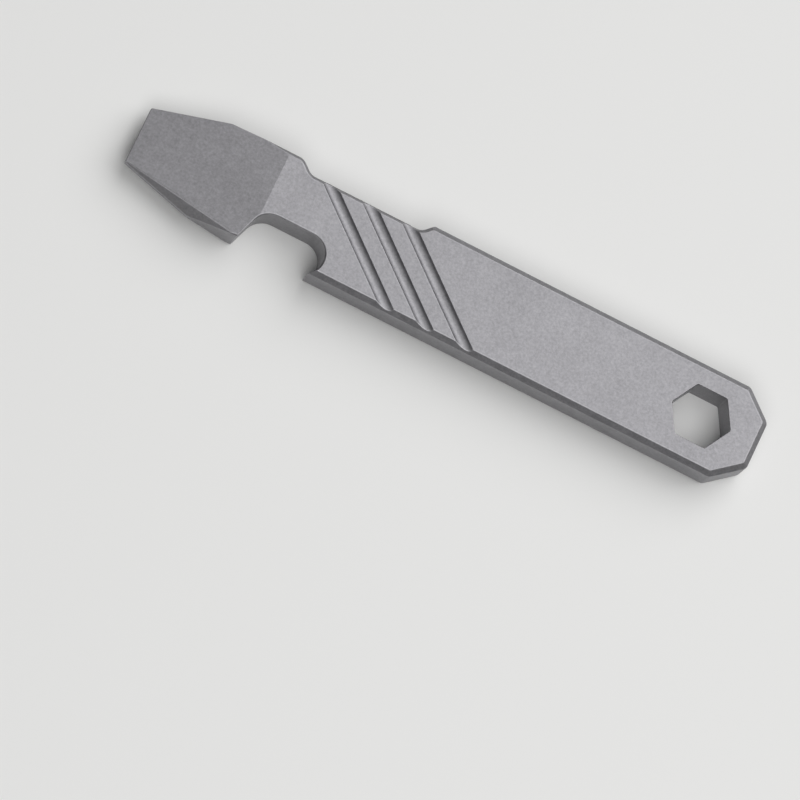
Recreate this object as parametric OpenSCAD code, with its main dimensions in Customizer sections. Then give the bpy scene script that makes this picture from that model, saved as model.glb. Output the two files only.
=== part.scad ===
// Pocket pry bar with a bottle opener, milled from one titanium plate.
// It lies flat: +X runs to the tail, +Y is the thumb side and +Z is up.
// The origin is at the middle of the underside.

/* [Bar] */
// Overall length
bar_l = 79; // [74:0.5:96]
// Overall width
bar_w = 11.8; // [10.8:0.1:14.5]
// Plate thickness
bar_t = 5; // [4:0.1:6.5]
// Bevel on the handle edges and round the tail
edge_bevel = 0.65; // [0.2:0.05:1]
// Finer bevel on the head edges and in the thumb recess
fine_bevel = 0.4; // [0.1:0.05:0.8]

/* [Pry tip] */
// Length of the wedge, from the tip to where it meets the flat face
wedge_l = 16.3; // [13.5:0.1:19.5]
// Thickness of the tip
tip_t = 0.9; // [0.5:0.1:1.6]
// Width of the tip
tip_w = 7.1; // [5:0.1:9]
// Length over which the sides of the head narrow to the tip
taper_l = 9; // [7:0.1:11]
// Upright land left between the two side facets of the head, on its -Y side
facet_land = 0.6; // [0.3:0.1:1.5]
// Lean of the side facets away from upright, in degrees
facet_lean = 36; // [28:1:44]

/* [Cap notch] */
// Distance from the tooth forward to the wedge line, along the lower edge
tooth_back = 1.3; // [0.5:0.1:2]
// Width of the mouth, from the tooth to the point of the hook
notch_mouth = 9.1; // [8.6:0.1:10.5]
// Depth of the notch, square to the lower edge
notch_depth = 4.25; // [3.8:0.05:4.9]
// Lean of the wall on the tooth side away from square, in degrees
tooth_lean = 20; // [10:1:28]
// Corner radius on the tooth side
tooth_r = 2.6; // [2:0.1:3]
// Overhang of the hook's point over the pocket behind it
hook_over = 0.95; // [0.5:0.05:1.5]
// Edge break round the notch
notch_bevel = 0.15; // [0.05:0.05:0.3]

/* [Thumb recess] */
// Flat top of the hump between the wedge line and the recess
hump_l = 1.2; // [0.6:0.1:3]
// Length of the recess along the thumb edge, over its ramps
recess_l = 17.4; // [13:0.1:22]
// Depth of the recess
recess_depth = 1.3; // [0.8:0.1:1.6]
// Slope of the ramp at the head end, in degrees
head_ramp = 40; // [30:1:55]
// Slope of the ramp at the tail end, in degrees
tail_ramp = 46; // [30:1:55]
// Radius between the ramps and the floor of the recess
recess_r = 1.5; // [0.8:0.1:2]
// Radius over the hump
hump_r = 1.5; // [1:0.1:2]

/* [Grip grooves] */
// Number of grooves on each face
groove_n = 3; // [2:1:4]
// Distance from groove to groove, along the bar
groove_pitch = 5.07; // [4:0.01:6]
// Angle of the grooves to the length of the bar, in degrees
groove_angle = 40; // [30:1:60]
// Width of a groove
groove_w = 1.4; // [0.8:0.1:2]
// Depth of a groove
groove_depth = 0.34; // [0.2:0.02:0.46]
// Shift of the grooves from the middle of the recess, toward the tail
groove_shift = 0.7; // [-1:0.1:1]

/* [Tail] */
// Width across flats of the bit hole
bit_flats = 6.5; // [5.5:0.05:7.5]
// Wall between the corner of the bit hole and the end of the tail
tail_wall = 3.6; // [2.5:0.1:6]
// Length of the corner cuts of the tail, along the bar
tail_cut = 3.5; // [2:0.1:5]
// Angle of the corner cuts to the length of the bar, in degrees
tail_angle = 40; // [30:1:50]

/* [Hidden] */

titanium = [0.63, 0.62, 0.64];
spare = 1;       // how far a cutter reaches past the metal
overlap = 0.003; // how far a round or a bevel passes its neighbour, so that they meet in clean edges
round_fn = 96;

// Bar
half_w = bar_w / 2;
mid_z = bar_t / 2;
tip_x = -bar_l / 2;
tail_x = bar_l / 2;
wedge_x = tip_x + wedge_l;

// Narrowing sides of the head
taper_x = tip_x + taper_l;
taper_angle = atan((bar_w - tip_w) / 2 / taper_l);

// Cap notch, with its mouth on the -Y edge.
// The pocket is the circle that touches the roof and ends in the hook's point.
tooth_x = wedge_x - tooth_back;
roof_y = notch_depth - half_w;
hook_r = notch_depth + hook_over - sqrt(2 * notch_depth * hook_over);
pocket_x = tooth_x + notch_mouth - (hook_r - hook_over);
// The corner on the tooth side touches the roof and the leaning wall.
corner_up = notch_depth - tooth_r;
corner_x = tooth_x + tooth_r / cos(tooth_lean) + corner_up * tan(tooth_lean);
wall_up = (corner_x - tooth_x) * sin(tooth_lean) + corner_up * cos(tooth_lean);

// Thumb recess, on the +Y edge
floor_y = half_w - recess_depth;
recess_x0 = wedge_x + hump_l;
recess_x1 = recess_x0 + recess_l;
head_ramp_x = recess_x0 + hump_r * tan(head_ramp / 2);

// The cutter radius that leaves a groove of this width and depth
groove_r = (pow(groove_w / 2, 2) + pow(groove_depth, 2)) / (2 * groove_depth);

// Tail, with its corners cut
tail_cut_x = tail_x - tail_cut;
tail_w = bar_w - 2 * tail_cut * tan(tail_angle);

// Bit hole
bit_r = bit_flats / 2 / cos(30);
bit_x = tail_x - tail_wall - bit_r;

// Repeats its children on both faces of the bar
module both_faces() {
    for (m = [0, 1])
        translate([0, 0, mid_z]) mirror([0, 0, m]) translate([0, 0, -mid_z])
            children();
}

// Repeats its children on both edges of the bar
module both_edges() {
    for (m = [0, 1]) mirror([0, m, 0]) children();
}

// Bevels an edge that runs along X through the origin, with the metal on its -Y side
module edge_cutter(from, to, bevel) {
    both_faces()
        translate([from, 0, bar_t])
            rotate([90, 0, 90])
                linear_extrude(to - from)
                    polygon([[-bevel - spare, spare], [spare, -bevel - spare], [spare, spare]]);
}

// Clears the +Y side of the XZ plane up to a reach, and bevels the edge that it leaves
module slab_cutter(from, to, reach, bevel) {
    flare = bevel + spare;
    translate([from, 0, 0])
        rotate([90, 0, 90])
            linear_extrude(to - from)
                polygon([
                    [reach, -spare], [-flare, -spare], [0, bevel],
                    [0, bar_t - bevel], [-flare, bar_t + spare], [reach, bar_t + spare]
                ]);
}

// Clears a round hole and bevels both its edges
module round_cutter(radius, bevel) {
    r = radius + overlap;
    flare = bevel + spare;
    translate([0, 0, -spare]) {
        cylinder(h = flare, r1 = r + flare, r2 = r, $fn = round_fn);
        cylinder(h = bar_t + 2 * spare, r = r, $fn = round_fn);
    }
    translate([0, 0, bar_t - bevel]) cylinder(h = flare, r1 = r, r2 = r + flare, $fn = round_fn);
}

// A round post with bevelled edges, which is what a rounded corner leaves standing.
// Its bevels run on past both faces.
module round_post(radius, bevel) {
    r = radius + overlap;
    rise = (r + bevel) / 2;
    translate([0, 0, bevel - rise]) cylinder(h = rise, r1 = r - rise, r2 = r, $fn = round_fn);
    translate([0, 0, bevel]) cylinder(h = bar_t - 2 * bevel, r = r, $fn = round_fn);
    translate([0, 0, bar_t - bevel]) cylinder(h = rise, r1 = r, r2 = r - rise, $fn = round_fn);
}

// The plate with its wedge, its narrowing head and the corner cuts of its tail
module blank() {
    intersection() {
        translate([0, half_w, 0])
            rotate([90, 0, 0])
                linear_extrude(bar_w)
                    polygon([
                        [tip_x, mid_z - tip_t / 2], [wedge_x, 0], [tail_x, 0],
                        [tail_x, bar_t], [wedge_x, bar_t], [tip_x, mid_z + tip_t / 2]
                    ]);
        linear_extrude(bar_t)
            polygon([
                [tip_x, -tip_w / 2], [taper_x, -half_w], [tail_cut_x, -half_w],
                [tail_x, -tail_w / 2], [tail_x, tail_w / 2],
                [tail_cut_x, half_w], [taper_x, half_w], [tip_x, tip_w / 2]
            ]);
    }
}

// The side facets are on the -Y side only. They hinge on the land of the narrowing side
// and run out at the wedge line.
module head_facets() {
    both_faces() mirror([0, 1, 0])
        translate([taper_x, half_w, mid_z + facet_land / 2])
            rotate([0, 0, taper_angle])
                rotate([facet_lean, 0, 0])
                    translate([-2 * taper_l, 0, -bar_t])
                        cube([4 * taper_l, bar_w, 4 * bar_t]);
}

// The two sizes of bevel change over inside the notch and the recess
module edge_bevels() {
    both_edges() translate([0, half_w, 0]) {
        edge_cutter(tip_x - spare, pocket_x, fine_bevel);
        edge_cutter(pocket_x, tail_x + spare, edge_bevel);
        translate([tail_cut_x, 0, 0])
            rotate([0, 0, -tail_angle])
                edge_cutter(-tail_cut, 3 * tail_cut, edge_bevel + overlap);
    }
    translate([tail_x, 0, 0]) rotate([0, 0, -90]) edge_cutter(-bar_w, bar_w, edge_bevel);
}

// How far along the bar a ramp takes to reach the flat floor
function ramp_run(slope) = recess_depth / tan(slope) + recess_r * tan(slope / 2);

// One ramp of the recess, falling along +X from the origin to where its round begins
module ramp(slope) {
    rotate([0, 0, -slope])
        slab_cutter(
            -2 * spare, recess_depth / sin(slope) - recess_r * tan(slope / 2),
            2 * recess_depth, fine_bevel
        );
}

module thumb_recess() {
    floor_x0 = head_ramp_x + ramp_run(head_ramp);
    floor_x1 = recess_x1 - ramp_run(tail_ramp);
    translate([head_ramp_x, half_w, 0]) ramp(head_ramp);
    translate([recess_x1, half_w, 0]) mirror([1, 0, 0]) ramp(tail_ramp);
    translate([0, floor_y, 0])
        slab_cutter(floor_x0, floor_x1, recess_depth + spare, fine_bevel);
    for (x = [floor_x0, floor_x1])
        translate([x, floor_y + recess_r, 0]) round_cutter(recess_r, fine_bevel);
}

// Takes off the corner of the hump outside its radius
module hump_round() {
    reach = hump_r + 2 * spare;
    translate([recess_x0, half_w - hump_r, 0])
        difference() {
            translate([0, 0, -spare / 2])
                linear_extrude(bar_t + spare)
                    polygon([
                        [0, 0], [0, reach],
                        [reach * tan(head_ramp / 2), reach],
                        [reach * sin(head_ramp), reach * cos(head_ramp)]
                    ]);
            round_post(hump_r, fine_bevel);
        }
}

module cap_notch() {
    translate([0, roof_y, 0]) mirror([0, 1, 0])
        slab_cutter(corner_x, pocket_x, notch_depth + spare, notch_bevel);
    translate([pocket_x, roof_y - hook_r, 0]) round_cutter(hook_r, notch_bevel);
    translate([corner_x, roof_y - tooth_r, 0]) round_cutter(tooth_r, notch_bevel);
    translate([tooth_x, -half_w, 0])
        rotate([0, 0, -90 - tooth_lean])
            slab_cutter(-wall_up, 2 * spare, 2 * tooth_r, notch_bevel);
}

module grip_grooves() {
    reach = bar_w / sin(groove_angle);
    first_x = (recess_x0 + recess_x1 - (groove_n - 1) * groove_pitch) / 2 + groove_shift;
    for (z = [groove_depth - groove_r, bar_t - groove_depth + groove_r])
        for (i = [0 : groove_n - 1])
            translate([first_x + i * groove_pitch, floor_y, z])
                rotate([0, 90, -groove_angle])
                    translate([0, 0, -reach])
                        cylinder(h = 3 * reach, r = groove_r, $fn = round_fn);
}

module bit_hole() {
    translate([bit_x, 0, -spare]) cylinder(h = bar_t + 2 * spare, r = bit_r, $fn = 6);
}

// The bar in plan, before its edges are worked
module profile() {
    difference() {
        blank();
        thumb_recess();
        hump_round();
        cap_notch();
    }
}

module bevelled_bar() {
    difference() {
        profile();
        edge_bevels();
        head_facets();
    }
}

module opener_bar() {
    color(titanium)
        difference() {
            bevelled_bar();
            grip_grooves();
            bit_hole();
        }
}

opener_bar();
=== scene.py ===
import math

import bmesh
import bpy
from mathutils import Matrix, Vector


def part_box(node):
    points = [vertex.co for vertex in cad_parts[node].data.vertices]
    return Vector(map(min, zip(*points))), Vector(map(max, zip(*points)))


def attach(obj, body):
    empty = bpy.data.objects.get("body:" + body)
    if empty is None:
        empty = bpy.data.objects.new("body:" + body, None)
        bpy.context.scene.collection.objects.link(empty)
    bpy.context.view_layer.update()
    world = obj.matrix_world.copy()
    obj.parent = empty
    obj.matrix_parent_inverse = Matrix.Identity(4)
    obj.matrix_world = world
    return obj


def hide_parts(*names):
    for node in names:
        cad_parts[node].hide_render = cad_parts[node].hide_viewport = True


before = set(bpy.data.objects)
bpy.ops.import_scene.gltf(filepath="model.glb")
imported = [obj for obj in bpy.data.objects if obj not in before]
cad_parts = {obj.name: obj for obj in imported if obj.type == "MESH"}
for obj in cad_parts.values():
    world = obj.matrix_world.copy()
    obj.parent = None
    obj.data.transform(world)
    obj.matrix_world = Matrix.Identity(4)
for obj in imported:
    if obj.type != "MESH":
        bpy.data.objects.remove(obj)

bl_info = {
    "name": "Pocket Bar Opener",
    "version": (1, 0, 0),
    "blender": (4, 5, 0),
    "location": "3D View > Sidebar > Opener",
    "description": "Makes a titanium pocket pry bar with a bottle opener, and a plain stage for it",
    "category": "Object",
}

BODY = "root"
CAD_NODE = "opener_bar"
MM = 0.001

ARC_STEP = math.radians(3)
CORNER_STEP = math.radians(6)
GROOVE_SIDES = 128  # of the round cutter that makes a groove
PAST_METAL = 1.0  # how far a cutter reaches out of the plate, in mm
FLOOR_REACH = 3.0  # from the middle of the floor to its edges, in metres

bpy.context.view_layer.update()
BAR_LOW, BAR_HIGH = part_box(CAD_NODE)


# Sizes and looks


def size_prop(name, millimetres, description):
    """A length that a user may change, given in millimetres."""
    return bpy.props.FloatProperty(
        name=name,
        description=description,
        default=millimetres * MM,
        min=0.0,
        unit="LENGTH",
        precision=5,
    )


def angle_prop(name, degrees, description):
    return bpy.props.FloatProperty(
        name=name,
        description=description,
        default=math.radians(degrees),
        unit="ROTATION",
        subtype="ANGLE",
    )


def share_prop(name, value, description):
    return bpy.props.FloatProperty(
        name=name,
        description=description,
        default=value,
        min=0.0,
        max=1.0,
        subtype="FACTOR",
    )


def tint_prop(name, value, description):
    return bpy.props.FloatVectorProperty(
        name=name,
        description=description,
        default=value,
        min=0.0,
        max=1.0,
        size=3,
        subtype="COLOR",
    )


def place_prop(name, value, description):
    """A point in the frame, in metres."""
    return bpy.props.FloatVectorProperty(
        name=name,
        description=description,
        default=value,
        size=3,
        precision=5,
        subtype="TRANSLATION",
        unit="LENGTH",
    )


def power_prop(name, watts, description):
    return bpy.props.FloatProperty(
        name=name, description=description, default=watts, min=0.0, unit="POWER"
    )


class OPENER_PG_bar(bpy.types.PropertyGroup):
    length: size_prop("Length", (BAR_HIGH.x - BAR_LOW.x) / MM, "Overall length")
    width: size_prop("Width", (BAR_HIGH.y - BAR_LOW.y) / MM, "Overall width")
    thick: size_prop("Thickness", (BAR_HIGH.z - BAR_LOW.z) / MM, "Plate thickness")
    edge_bevel: size_prop("Edge Bevel", 0.65, "Bevel on the handle and the tail")
    fine_bevel: size_prop("Fine Bevel", 0.4, "Bevel on the head and in the recess")
    edge_round: size_prop("Edge Round", 0.08, "Rounding that tumbling left on every edge")

    wedge_length: size_prop("Wedge Length", 16.3, "From the tip to the flat face")
    tip_thick: size_prop("Tip Thickness", 0.9, "Thickness of the pry tip")
    tip_width: size_prop("Tip Width", 7.1, "Width of the pry tip")
    tip_round: size_prop("Tip Corner Radius", 0.22, "Rounding of the tip's corners")
    taper_length: size_prop("Taper Length", 9.0, "Over which the head narrows")
    facet_land: size_prop("Facet Land", 0.6, "Upright land between the side facets")
    facet_lean: angle_prop("Facet Lean", 36, "Lean of the side facets from upright")

    tooth_back: size_prop("Tooth Set-back", 1.3, "From the tooth to the wedge line")
    notch_mouth: size_prop("Notch Mouth", 9.1, "Width of the cap notch at its mouth")
    notch_depth: size_prop("Notch Depth", 4.25, "Depth of the cap notch")
    tooth_lean: angle_prop("Tooth Lean", 20, "Lean of the wall on the tooth side")
    tooth_round: size_prop("Tooth Corner Radius", 2.6, "Corner on the tooth side")
    hook_over: size_prop("Hook Overhang", 0.95, "Overhang of the hook's point")
    notch_bevel: size_prop("Notch Bevel", 0.15, "Edge break round the notch")

    hump_length: size_prop("Hump Length", 1.2, "Flat between wedge line and recess")
    recess_length: size_prop("Recess Length", 17.4, "Length of the thumb recess")
    recess_depth: size_prop("Recess Depth", 1.3, "Depth of the thumb recess")
    head_ramp: angle_prop("Head Ramp", 40, "Slope of the ramp at the head end")
    tail_ramp: angle_prop("Tail Ramp", 46, "Slope of the ramp at the tail end")
    recess_round: size_prop("Recess Radius", 1.5, "Between the ramps and the floor")
    hump_round: size_prop("Hump Radius", 1.5, "Radius over the hump")

    groove_count: bpy.props.IntProperty(
        name="Grooves", description="Grip grooves on each face", default=3, min=0, max=6
    )
    groove_pitch: size_prop("Groove Pitch", 5.07, "From groove to groove along the bar")
    groove_angle: angle_prop("Groove Angle", 40, "Between a groove and the bar")
    groove_width: size_prop("Groove Width", 1.4, "Width of a groove")
    groove_depth: size_prop("Groove Depth", 0.34, "Depth of a groove")
    groove_shift: size_prop("Groove Shift", 0.7, "Of the grooves, toward the tail")

    bit_flats: size_prop("Bit Hole", 6.5, "Width of the bit hole across its flats")
    bit_round: size_prop("Bit Hole Radius", 0.3, "Rounding of the bit hole's corners")
    tail_wall: size_prop("Tail Wall", 3.6, "From the bit hole to the end of the tail")
    tail_cut: size_prop("Tail Cut", 3.5, "Length of the tail's corner cuts")
    tail_angle: angle_prop("Tail Angle", 40, "Between the corner cuts and the bar")
    tail_round: size_prop("Tail Corner Radius", 0.9, "Rounding of the tail's corners")


class OPENER_PG_titanium(bpy.types.PropertyGroup):
    grey: tint_prop("Grey", (0.3, 0.296, 0.31), "Colour of the blasted face")
    # Brighter grey of the rounded edges: partly wear, partly a painted highlight of the light rims
    # the edges catch.
    worn_and_highlight_grey: tint_prop("Worn Grey", (0.5, 0.495, 0.515), "Colour of the worn edges")
    rough: share_prop("Roughness", 0.5, "Roughness of the blasted face")
    worn_rough: share_prop("Worn Roughness", 0.42, "Roughness of the worn edges")
    rough_spread: share_prop("Roughness Spread", 0.16, "How much the roughness varies")
    # How much the edges are brightened, as wear and as a painted highlight together.
    wear_and_highlight: share_prop("Wear", 0.3, "How far the edges are worn bright")
    scuffing: share_prop("Scuffing", 0.9, "How unevenly the edges are worn")
    cloud: share_prop("Clouding", 0.18, "How much the grey varies in soft clouds")
    cloud_size: size_prop("Cloud Size", 6.0, "Size of one soft cloud")
    mottle: share_prop("Mottling", 0.48, "How much the grey varies in small blots")
    mottle_size: size_prop("Mottle Size", 0.9, "Size of one small blot")
    grain: share_prop("Grain", 0.6, "How much the grey varies in fine grains")
    grain_size: size_prop("Grain Size", 0.3, "Size of one blasted grain")
    grain_height: size_prop("Grain Height", 0.012, "Height of the blasted grain")


class OPENER_PG_stage(bpy.types.PropertyGroup):
    floor_tint: tint_prop("Floor", (0.85, 0.85, 0.84), "Colour of the plain floor")
    fill: share_prop("Fill Light", 0.08, "Strength of the even light all round")
    key_power: power_prop("Key Light", 8.2, "Power of the large light")
    key_size: size_prop("Key Size", 1300, "Width of the large light")
    key_place: place_prop("Key Place", (0.36, 0.45, 0.72), "Where the large light hangs")
    side_power: power_prop("Side Light", 1.7, "Power of the smaller light")
    side_size: size_prop("Side Size", 500, "Width of the smaller light")
    side_place: place_prop("Side Place", (0.05, -0.3, 0.6), "Where the smaller light hangs")
    azimuth: angle_prop("Camera Azimuth", -18, "Turn of the camera round the bar")
    elevation: angle_prop("Camera Elevation", 74, "Height of the camera as an angle")
    roll: angle_prop("Camera Roll", 44.27, "Turn of the camera about its own axis")
    distance: size_prop("Camera Distance", 1000, "From the camera to what it looks at")
    across: size_prop("Picture Width", 90.6, "What the picture spans at the bar")
    aim: place_prop(
        "Camera Aim", (0.000265, -0.014428, BAR_HIGH.z), "What the camera looks at"
    )


# Outlines in plan, in millimetres


def millimetres(props):
    """A property group's values, with lengths in mm. Angles stay in radians."""
    sizes = {}
    for name, prop in props.bl_rna.properties.items():
        if name in ("rna_type", "name"):
            continue
        value = getattr(props, name)
        sizes[name] = value / MM if prop.unit == "LENGTH" else value
    return type("Sizes", (), sizes)


def along(angle, length=1.0):
    """A step in plan, at an angle from the bar's length."""
    return Vector((math.cos(angle), math.sin(angle))) * length


def arc(centre, radius, start, end, step=ARC_STEP):
    """Points on an arc, in order from one angle to the other."""
    slack = 1e-6
    count = max(1, math.ceil(abs(end - start) / step - slack))
    return [
        centre + along(start + (end - start) * i / count, radius)
        for i in range(count + 1)
    ]


class Plan:
    """Where the bar's edges, corners and pockets are in plan."""

    def __init__(self, s):
        self.s = s
        self.half_w = s.width / 2
        self.mid_z = s.thick / 2
        self.tip_x = -s.length / 2
        self.tail_x = s.length / 2
        self.wedge_x = self.tip_x + s.wedge_length
        self.taper_x = self.tip_x + s.taper_length
        self.taper_angle = math.atan((s.width - s.tip_width) / 2 / s.taper_length)

        self.tooth_x = self.wedge_x - s.tooth_back
        self.roof_y = s.notch_depth - self.half_w
        self.hook_r = (
            s.notch_depth + s.hook_over - math.sqrt(2 * s.notch_depth * s.hook_over)
        )
        self.pocket_x = self.tooth_x + s.notch_mouth - (self.hook_r - s.hook_over)
        self.corner_x = (
            self.tooth_x
            + s.tooth_round / math.cos(s.tooth_lean)
            + (s.notch_depth - s.tooth_round) * math.tan(s.tooth_lean)
        )

        self.floor_y = self.half_w - s.recess_depth
        self.recess_x0 = self.wedge_x + s.hump_length
        self.recess_x1 = self.recess_x0 + s.recess_length
        head_ramp_x = self.recess_x0 + s.hump_round * math.tan(s.head_ramp / 2)
        self.floor_x0 = head_ramp_x + self.ramp_run(s.head_ramp)
        self.floor_x1 = self.recess_x1 - self.ramp_run(s.tail_ramp)

        self.tail_cut_x = self.tail_x - s.tail_cut
        self.tail_half_w = self.half_w - s.tail_cut * math.tan(s.tail_angle)
        self.bit_r = s.bit_flats / 2 / math.cos(math.radians(30))
        self.bit_x = self.tail_x - s.tail_wall - self.bit_r

    def ramp_run(self, slope):
        """How far along the bar a ramp and its radius at the floor reach."""
        bend = self.s.recess_round * math.tan(slope / 2)
        return self.s.recess_depth / math.tan(slope) + bend

    def corners(self):
        """The plate's corners, each with its radius and the bevel there.
        The two sizes of bevel change over inside the notch and the recess."""
        s = self.s
        change = 0.3  # to either side of where the bevel's size changes
        lower = [
            (self.tip_x, -s.tip_width / 2, s.tip_round, 0.0),
            (self.taper_x, -self.half_w, 0.0, s.fine_bevel),
            (self.pocket_x - change, -self.half_w, 0.0, s.fine_bevel),
            (self.pocket_x + change, -self.half_w, 0.0, s.edge_bevel),
            (self.tail_cut_x, -self.half_w, s.tail_round, s.edge_bevel),
            (self.tail_x, -self.tail_half_w, s.tail_round, s.edge_bevel),
        ]
        upper = [(x, -y, radius, bevel) for x, y, radius, bevel in reversed(lower)]
        return lower + upper

    def notch(self, grow):
        """The cap notch, grown into the metal by that much."""
        s = self.s
        wall = Vector((-math.cos(s.tooth_lean), math.sin(s.tooth_lean)))
        down = Vector((-math.sin(s.tooth_lean), -math.cos(s.tooth_lean)))
        mouth = Vector((self.tooth_x, -self.half_w))
        mouth += down * 2 * PAST_METAL + wall * grow
        corner = Vector((self.corner_x, self.roof_y - s.tooth_round))
        hook = Vector((self.pocket_x, self.roof_y - self.hook_r))
        return (
            [mouth]
            + arc(corner, s.tooth_round + grow, math.pi - s.tooth_lean, math.pi / 2)
            + arc(hook, self.hook_r + grow, math.pi / 2, -math.pi / 2)
        )

    def recess(self, grow):
        """The thumb recess, grown into the metal by that much."""
        s = self.s
        hump = Vector((self.recess_x0, self.half_w - s.hump_round))
        head_end = Vector((self.floor_x0, self.floor_y + s.recess_round))
        tail_end = Vector((self.floor_x1, self.floor_y + s.recess_round))
        down = math.radians(270)
        high = 3 * PAST_METAL
        top = Vector((self.recess_x1, self.half_w))
        top += along(s.tail_ramp, high) + along(s.tail_ramp - math.pi / 2, grow)
        return (
            [Vector((self.recess_x0, self.half_w + high))]
            + arc(hump, s.hump_round - grow, math.pi / 2, math.pi / 2 - s.head_ramp)
            + arc(head_end, s.recess_round + grow, down - s.head_ramp, down)
            + arc(tail_end, s.recess_round + grow, down, down + s.tail_ramp)
            + [top]
        )


def rounded(corners, share):
    """A convex outline with each corner rounded, drawn in by a share of its bevel.
    Gives each point with the bevel there."""
    points = []
    for i, (x, y, radius, bevel) in enumerate(corners):
        here = Vector((x, y))
        before = here - Vector(corners[i - 1][:2])
        after = Vector(corners[(i + 1) % len(corners)][:2]) - here
        start = math.atan2(before.y, before.x) - math.pi / 2
        turn = (math.atan2(after.y, after.x) - math.pi / 2 - start) % (2 * math.pi)
        if turn > math.pi:  # a straight run that arithmetic turned backward
            turn = 0.0
        side_in, side_out = along(start), along(start + turn)
        inward = -(side_in + side_out) / (1 + side_in.dot(side_out))
        if radius:
            centre = here + inward * radius
            left = radius - bevel * share
            bend = arc(centre, left, start, start + turn, CORNER_STEP)
        else:
            bend = [here + inward * bevel * share]
        points += [(point, bevel) for point in bend]
    return points


# Solids in millimetres


def loft(layers):
    """A closed solid through layers of points, from the lowest to the highest."""
    solid = bmesh.new()
    rings = [[solid.verts.new(point) for point in layer] for layer in layers]
    for low, high in zip(rings, rings[1:]):
        for i in range(len(low)):
            solid.faces.new((low[i - 1], low[i], high[i], high[i - 1]))
    solid.faces.new(list(reversed(rings[0])))
    solid.faces.new(rings[-1])
    bmesh.ops.recalc_face_normals(solid, faces=solid.faces)
    return solid


def pocket_cutter(outline, bevel, thick):
    """Clears an outline through the plate and bevels both its edges."""
    past = PAST_METAL / 2
    flare = bevel + past
    heights = (
        (-past, flare),
        (bevel, 0.0),
        (thick - bevel, 0.0),
        (thick + past, flare),
    )
    return loft([[(*p, z) for p in outline(grow)] for z, grow in heights])


def merge_points(solid, reach):
    """Makes one point of those that lie closer than that."""
    bmesh.ops.remove_doubles(solid, verts=solid.verts, dist=reach)


def slice_off(solid, point, normal):
    """Removes what lies beyond a plane and closes the cut."""
    cut = bmesh.ops.bisect_plane(
        solid,
        geom=solid.verts[:] + solid.edges[:] + solid.faces[:],
        dist=1e-5,
        plane_co=point,
        plane_no=normal,
        clear_outer=True,
    )
    rim = [
        e for e in cut["geom_cut"] if isinstance(e, bmesh.types.BMEdge) and e.is_boundary
    ]
    bmesh.ops.edgeloop_fill(solid, edges=rim)
    bmesh.ops.recalc_face_normals(solid, faces=solid.faces)


def bar_blank(plan):
    """The bevelled plate, cut down to its wedge and the side facets of its head."""
    s = plan.s
    full = rounded(plan.corners(), 0.0)
    drawn = rounded(plan.corners(), 1.0)
    solid = loft(
        [
            [(*p, 0.0) for p, _ in drawn],
            [(*p, bevel) for p, bevel in full],
            [(*p, s.thick - bevel) for p, bevel in full],
            [(*p, s.thick) for p, _ in drawn],
        ]
    )
    rise = (s.thick - s.tip_thick) / 2
    lean = Matrix.Rotation(s.facet_lean, 3, "X")
    out = Matrix.Rotation(plan.taper_angle, 3, "Z") @ lean @ Vector((0, 1, 0))
    for face in (-1, 1):
        slice_off(
            solid,
            (plan.wedge_x, 0, plan.mid_z * (1 + face)),
            (-rise, 0, face * s.wedge_length),
        )
        slice_off(
            solid,
            (plan.taper_x, -plan.half_w, plan.mid_z + face * s.facet_land / 2),
            (out.x, -out.y, face * out.z),
        )
    merge_points(solid, 0.001)
    return solid


def bit_cutter(plan):
    """The six-sided bit hole, with its corners a little rounded."""
    s = plan.s
    corners = [
        (plan.bit_x + p.x, p.y, s.bit_round, 0.0)
        for p in (along(math.radians(60 * i), plan.bit_r) for i in range(6))
    ]
    ring = [p for p, _ in rounded(corners, 0.0)]
    return loft([[(*p, z) for p in ring] for z in (-PAST_METAL, s.thick + PAST_METAL)])


def groove_cutters(plan):
    """A long round cutter for each grip groove, on both faces."""
    s = plan.s
    radius = ((s.groove_width / 2) ** 2 + s.groove_depth**2) / (2 * s.groove_depth)
    reach = s.width / math.sin(s.groove_angle)
    middle_x = (plan.recess_x0 + plan.recess_x1) / 2 + s.groove_shift
    first_x = middle_x - (s.groove_count - 1) * s.groove_pitch / 2
    laid = Matrix.Rotation(math.pi / 2, 4, "Y")
    slanted = Matrix.Rotation(-s.groove_angle, 4, "Z") @ laid
    for height in (s.groove_depth - radius, s.thick - s.groove_depth + radius):
        for i in range(s.groove_count):
            x = first_x + i * s.groove_pitch
            place = Matrix.Translation((x, plan.floor_y, height))
            solid = bmesh.new()
            bmesh.ops.create_cone(
                solid,
                cap_ends=True,
                segments=GROOVE_SIDES,
                radius1=radius,
                radius2=radius,
                depth=4 * reach,
                matrix=place @ slanted,
            )
            yield solid


def as_object(solid, name):
    """Puts a solid into the scene."""
    mesh = bpy.data.meshes.new(name)
    solid.to_mesh(mesh)
    solid.free()
    obj = bpy.data.objects.new(name, mesh)
    bpy.context.scene.collection.objects.link(obj)
    return obj


def cut_away(blank, cutters):
    """The blank's mesh with every cutter taken out of it."""
    tools = [as_object(cutter, "cutter") for cutter in cutters]
    for tool in tools:
        step = blank.modifiers.new("cut", "BOOLEAN")
        step.operation = "DIFFERENCE"
        step.solver = "EXACT"
        step.object = tool
    shown = blank.evaluated_get(bpy.context.evaluated_depsgraph_get())
    mesh = bpy.data.meshes.new_from_object(shown)
    for tool in tools:
        bpy.data.objects.remove(tool)
    return mesh


def round_edges(solid, size):
    """Rounds every sharp edge, and marks the faces that this makes for the brighter edge grey:
    partly wear, partly a painted highlight.
    """
    worn = solid.faces.layers.float.new("worn")
    least = math.radians(14)
    sharp = [e for e in solid.edges if e.is_manifold and e.calc_face_angle() > least]
    made = bmesh.ops.bevel(
        solid,
        geom=sharp,
        offset=size,
        offset_type="OFFSET",
        segments=3,
        profile=0.5,
        affect="EDGES",
        clamp_overlap=False,
        loop_slide=True,
        material=-1,
    )
    for face in made["faces"]:
        face[worn] = 1.0
    return worn


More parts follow.
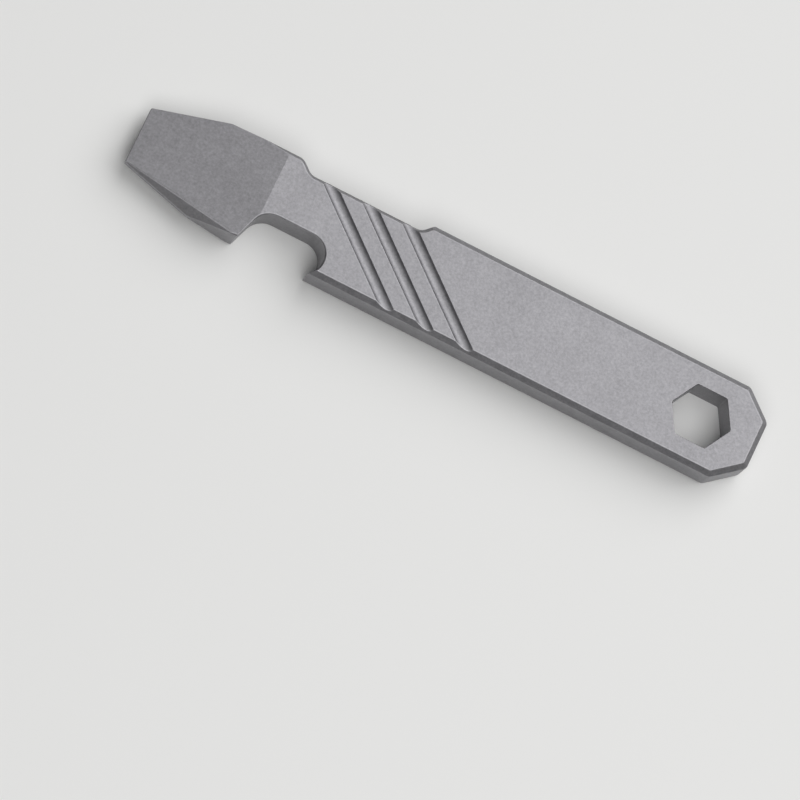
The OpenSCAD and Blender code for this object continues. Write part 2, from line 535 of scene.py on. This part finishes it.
def settled_normals(solid, worn):
    """A normal for each corner of each face. Flat faces stay flat, arcs are smooth,
    and the rounded edges run from one neighbour to the other."""
    flat_reach = math.radians(6.4)
    worn_reach = math.radians(50)
    normals = []
    for face in solid.faces:
        for corner in face.loops:
            near = corner.vert.link_faces
            flat = [f for f in near if not f[worn]]
            reach = worn_reach if face[worn] else flat_reach
            like = [f for f in flat if f.normal.angle(face.normal, 0.0) < reach]
            total = Vector()
            for f in like or near:
                total += f.normal * f.calc_area()
            normals.append(total.normalized() if total.length else face.normal.copy())
    return normals


def bar_mesh(sizes):
    """The whole bar as one mesh, in metres."""
    plan = Plan(sizes)
    blank = as_object(bar_blank(plan), "blank")
    mesh = cut_away(
        blank,
        [
            pocket_cutter(plan.recess, sizes.fine_bevel, sizes.thick),
            pocket_cutter(plan.notch, sizes.notch_bevel, sizes.thick),
            bit_cutter(plan),
            *groove_cutters(plan),
        ],
    )
    bpy.data.objects.remove(blank)
    solid = bmesh.new()
    solid.from_mesh(mesh)
    merge_points(solid, 0.004)
    same_plane = math.radians(0.4)
    bmesh.ops.dissolve_limit(
        solid, angle_limit=same_plane, verts=solid.verts, edges=solid.edges
    )
    open_edges = [e for e in solid.edges if not e.is_manifold]
    if open_edges:
        raise RuntimeError(f"the bar's mesh has {len(open_edges)} open edges")
    worn = round_edges(solid, sizes.edge_round)
    for face in solid.faces:
        face.smooth = True
    solid.normal_update()
    normals = settled_normals(solid, worn)
    bmesh.ops.scale(solid, vec=(MM, MM, MM), verts=solid.verts)
    solid.to_mesh(mesh)
    solid.free()
    mesh.normals_split_custom_set(normals)
    return mesh


# Material nodes


MIX_FACTOR, MIX_A, MIX_B, MIX_COLOUR = 0, 6, 7, 2  # a Mix node's places for colour


class Wire:
    """A node's output, with Python's operators adding Math nodes to it."""

    def __init__(self, maker, socket):
        self.maker, self.socket = maker, socket

    def _math(self, operation, *values):
        return self.maker.add(
            "ShaderNodeMath", {"operation": operation}, dict(enumerate(values))
        )

    def __add__(self, other):
        return self._math("ADD", self, other)

    def __sub__(self, other):
        return self._math("SUBTRACT", self, other)

    def __rsub__(self, other):
        return self._math("SUBTRACT", other, self)

    def __mul__(self, other):
        return self._math("MULTIPLY", self, other)

    __radd__, __rmul__ = __add__, __mul__


class NodeMaker:
    """Adds nodes to one material."""

    def __init__(self, name):
        self.material = bpy.data.materials.new(name)
        self.material.use_nodes = True
        self.tree = self.material.node_tree
        self.tree.nodes.clear()

    def add(self, kind, settings, sockets, out=0):
        """A node of that kind. Its settings come first, then a value or a wire for
        each socket, by name or by place. Gives the output at place `out`."""
        node = self.tree.nodes.new(kind)
        for name, value in settings.items():
            setattr(node, name, value)
        for key, value in sockets.items():
            if isinstance(value, Wire):
                self.tree.links.new(value.socket, node.inputs[key])
            else:
                node.inputs[key].default_value = value
        return Wire(self, node.outputs[out]) if node.outputs else node


def blasted_titanium(look):
    """Matte blasted grey with soft clouds and a fine grain, and edges painted brighter, partly as
    wear and partly as a painted highlight.
    """
    make = NodeMaker("titanium_blasted")
    place = make.add("ShaderNodeTexCoord", {}, {}, out=3)

    def noise(size, detail, roughness):
        """Soft noise with blots of that size in millimetres, round nought."""
        sockets = {
            "Vector": place,
            "Scale": 1 / (size * MM),
            "Detail": detail,
            "Roughness": roughness,
        }
        return make.add("ShaderNodeTexNoise", {}, sockets) - 0.5

    clouds = noise(look.cloud_size, 2.0, 0.5)
    mottle = noise(look.mottle_size, 4.0, 0.7)
    grain = noise(look.grain_size, 2.0, 0.7)
    scuffs = noise(look.mottle_size, 3.0, 0.5)
    # The rounded edges get a brighter grey: partly wear, partly a painted highlight of the light
    # rims they catch.
    edge = make.add("ShaderNodeAttribute", {"attribute_name": "worn"}, {}, out=2)
    wear_and_highlight = edge * look.wear_and_highlight * (1.0 + look.scuffing * scuffs)
    shade = 1.0 + clouds * look.cloud + mottle * look.mottle + grain * look.grain
    grey = make.add(
        "ShaderNodeVectorMath",
        {"operation": "SCALE"},
        {0: tuple(look.grey), "Scale": shade},
    )
    colour = make.add(
        "ShaderNodeMix",
        {"data_type": "RGBA"},
        {MIX_FACTOR: wear_and_highlight, MIX_A: grey, MIX_B: (*look.worn_and_highlight_grey, 1.0)},
        out=MIX_COLOUR,
    )
    rough = (
        look.rough
        + mottle * look.rough_spread
        + wear_and_highlight * (look.worn_rough - look.rough)
    )
    bump = make.add(
        "ShaderNodeBump",
        {},
        {"Strength": 0.6, "Distance": look.grain_height * MM, "Height": grain},
    )
    shader = make.add(
        "ShaderNodeBsdfPrincipled",
        {},
        {"Base Color": colour, "Metallic": 1.0, "Roughness": rough, "Normal": bump},
    )
    make.add("ShaderNodeOutputMaterial", {}, {"Surface": shader})
    return make.material


def plain(name, tint, rough):
    """One matte colour all over."""
    make = NodeMaker(name)
    shader = make.add(
        "ShaderNodeBsdfPrincipled", {}, {"Base Color": (*tint, 1.0), "Roughness": rough}
    )
    make.add("ShaderNodeOutputMaterial", {}, {"Surface": shader})
    return make.material


# Operators


class OPENER_OT_make_bar(bpy.types.Operator):
    """Makes the bar's mesh and puts it in place of the plain one"""

    bl_idname = "opener.make_bar"
    bl_label = "Make Bar"

    def execute(self, context):
        sizes = millimetres(context.scene.opener_bar)
        bar = bpy.data.objects.new("titanium_bar", bar_mesh(sizes))
        context.scene.collection.objects.link(bar)
        bar.data.name = bar.name
        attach(bar, BODY)
        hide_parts(CAD_NODE)
        return {"FINISHED"}


class OPENER_OT_finish_titanium(bpy.types.Operator):
    """Gives the bar its blasted titanium finish"""

    bl_idname = "opener.finish_titanium"
    bl_label = "Finish Titanium"

    def execute(self, context):
        bar = bpy.data.objects["titanium_bar"]
        bar.data.materials.clear()
        bar.data.materials.append(
            blasted_titanium(millimetres(context.scene.opener_titanium))
        )
        return {"FINISHED"}


def soft_light(name, power, size, place):
    """A round light that faces the bar."""
    light = bpy.data.lights.new(name, "AREA")
    light.shape = "DISK"
    light.size = size
    light.energy = power
    obj = bpy.data.objects.new(name, light)
    obj.location = place
    obj.rotation_euler = Vector(place).to_track_quat("Z", "Y").to_euler()
    bpy.context.scene.collection.objects.link(obj)


class OPENER_OT_set_stage(bpy.types.Operator):
    """Sets the plain floor, the soft lights and the camera"""

    bl_idname = "opener.set_stage"
    bl_label = "Set Stage"

    def execute(self, context):
        look = context.scene.opener_stage
        context.scene.view_settings.view_transform = "Standard"
        sheet = bmesh.new()
        bmesh.ops.create_grid(sheet, x_segments=1, y_segments=1, size=FLOOR_REACH)
        floor = as_object(sheet, "floor")
        floor.location.z = BAR_LOW.z
        floor.data.materials.append(plain("floor_paint", look.floor_tint, 0.9))

        world = bpy.data.worlds.new("studio")
        world.use_nodes = True
        backdrop = world.node_tree.nodes["Background"]
        backdrop.inputs["Color"].default_value = (1.0, 1.0, 1.0, 1.0)
        backdrop.inputs["Strength"].default_value = look.fill
        context.scene.world = world
        soft_light("key_light", look.key_power, look.key_size, look.key_place)
        soft_light("side_light", look.side_power, look.side_size, look.side_place)

        camera = bpy.data.cameras.new("camera")
        camera.sensor_width = 36.0
        camera.lens = camera.sensor_width * look.distance / look.across
        camera.clip_start, camera.clip_end = 0.01, 10.0
        obj = bpy.data.objects.new("camera", camera)
        obj.matrix_world = (
            Matrix.Translation(Vector(look.aim))
            @ Matrix.Rotation(look.azimuth, 4, "Z")
            @ Matrix.Rotation(math.pi / 2 - look.elevation, 4, "X")
            @ Matrix.Rotation(look.roll, 4, "Z")
            @ Matrix.Translation((0, 0, look.distance))
        )
        context.scene.collection.objects.link(obj)
        context.scene.camera = obj
        return {"FINISHED"}


class OPENER_PT_panel(bpy.types.Panel):
    bl_idname = "OPENER_PT_panel"
    bl_label = "Pocket Bar Opener"
    bl_space_type = "VIEW_3D"
    bl_region_type = "UI"
    bl_category = "Opener"

    def draw(self, context):
        for operator, group in STEPS:
            self.layout.operator(operator.bl_idname)
            box = self.layout.box()
            props = getattr(context.scene, group)
            for name in props.__annotations__:
                box.prop(props, name)


GROUPS = {
    "opener_bar": OPENER_PG_bar,
    "opener_titanium": OPENER_PG_titanium,
    "opener_stage": OPENER_PG_stage,
}
STEPS = (
    (OPENER_OT_make_bar, "opener_bar"),
    (OPENER_OT_finish_titanium, "opener_titanium"),
    (OPENER_OT_set_stage, "opener_stage"),
)
CLASSES = (*GROUPS.values(), *(operator for operator, _ in STEPS), OPENER_PT_panel)


def register():
    for cls in CLASSES:
        bpy.utils.register_class(cls)
    for name, group in GROUPS.items():
        setattr(bpy.types.Scene, name, bpy.props.PointerProperty(type=group))


def unregister():
    for name in GROUPS:
        delattr(bpy.types.Scene, name)
    for cls in reversed(CLASSES):
        bpy.utils.unregister_class(cls)


def main():
    register()
    bpy.ops.opener.make_bar()
    bpy.ops.opener.finish_titanium()
    bpy.ops.opener.set_stage()


if __name__ == "__main__":
    main()
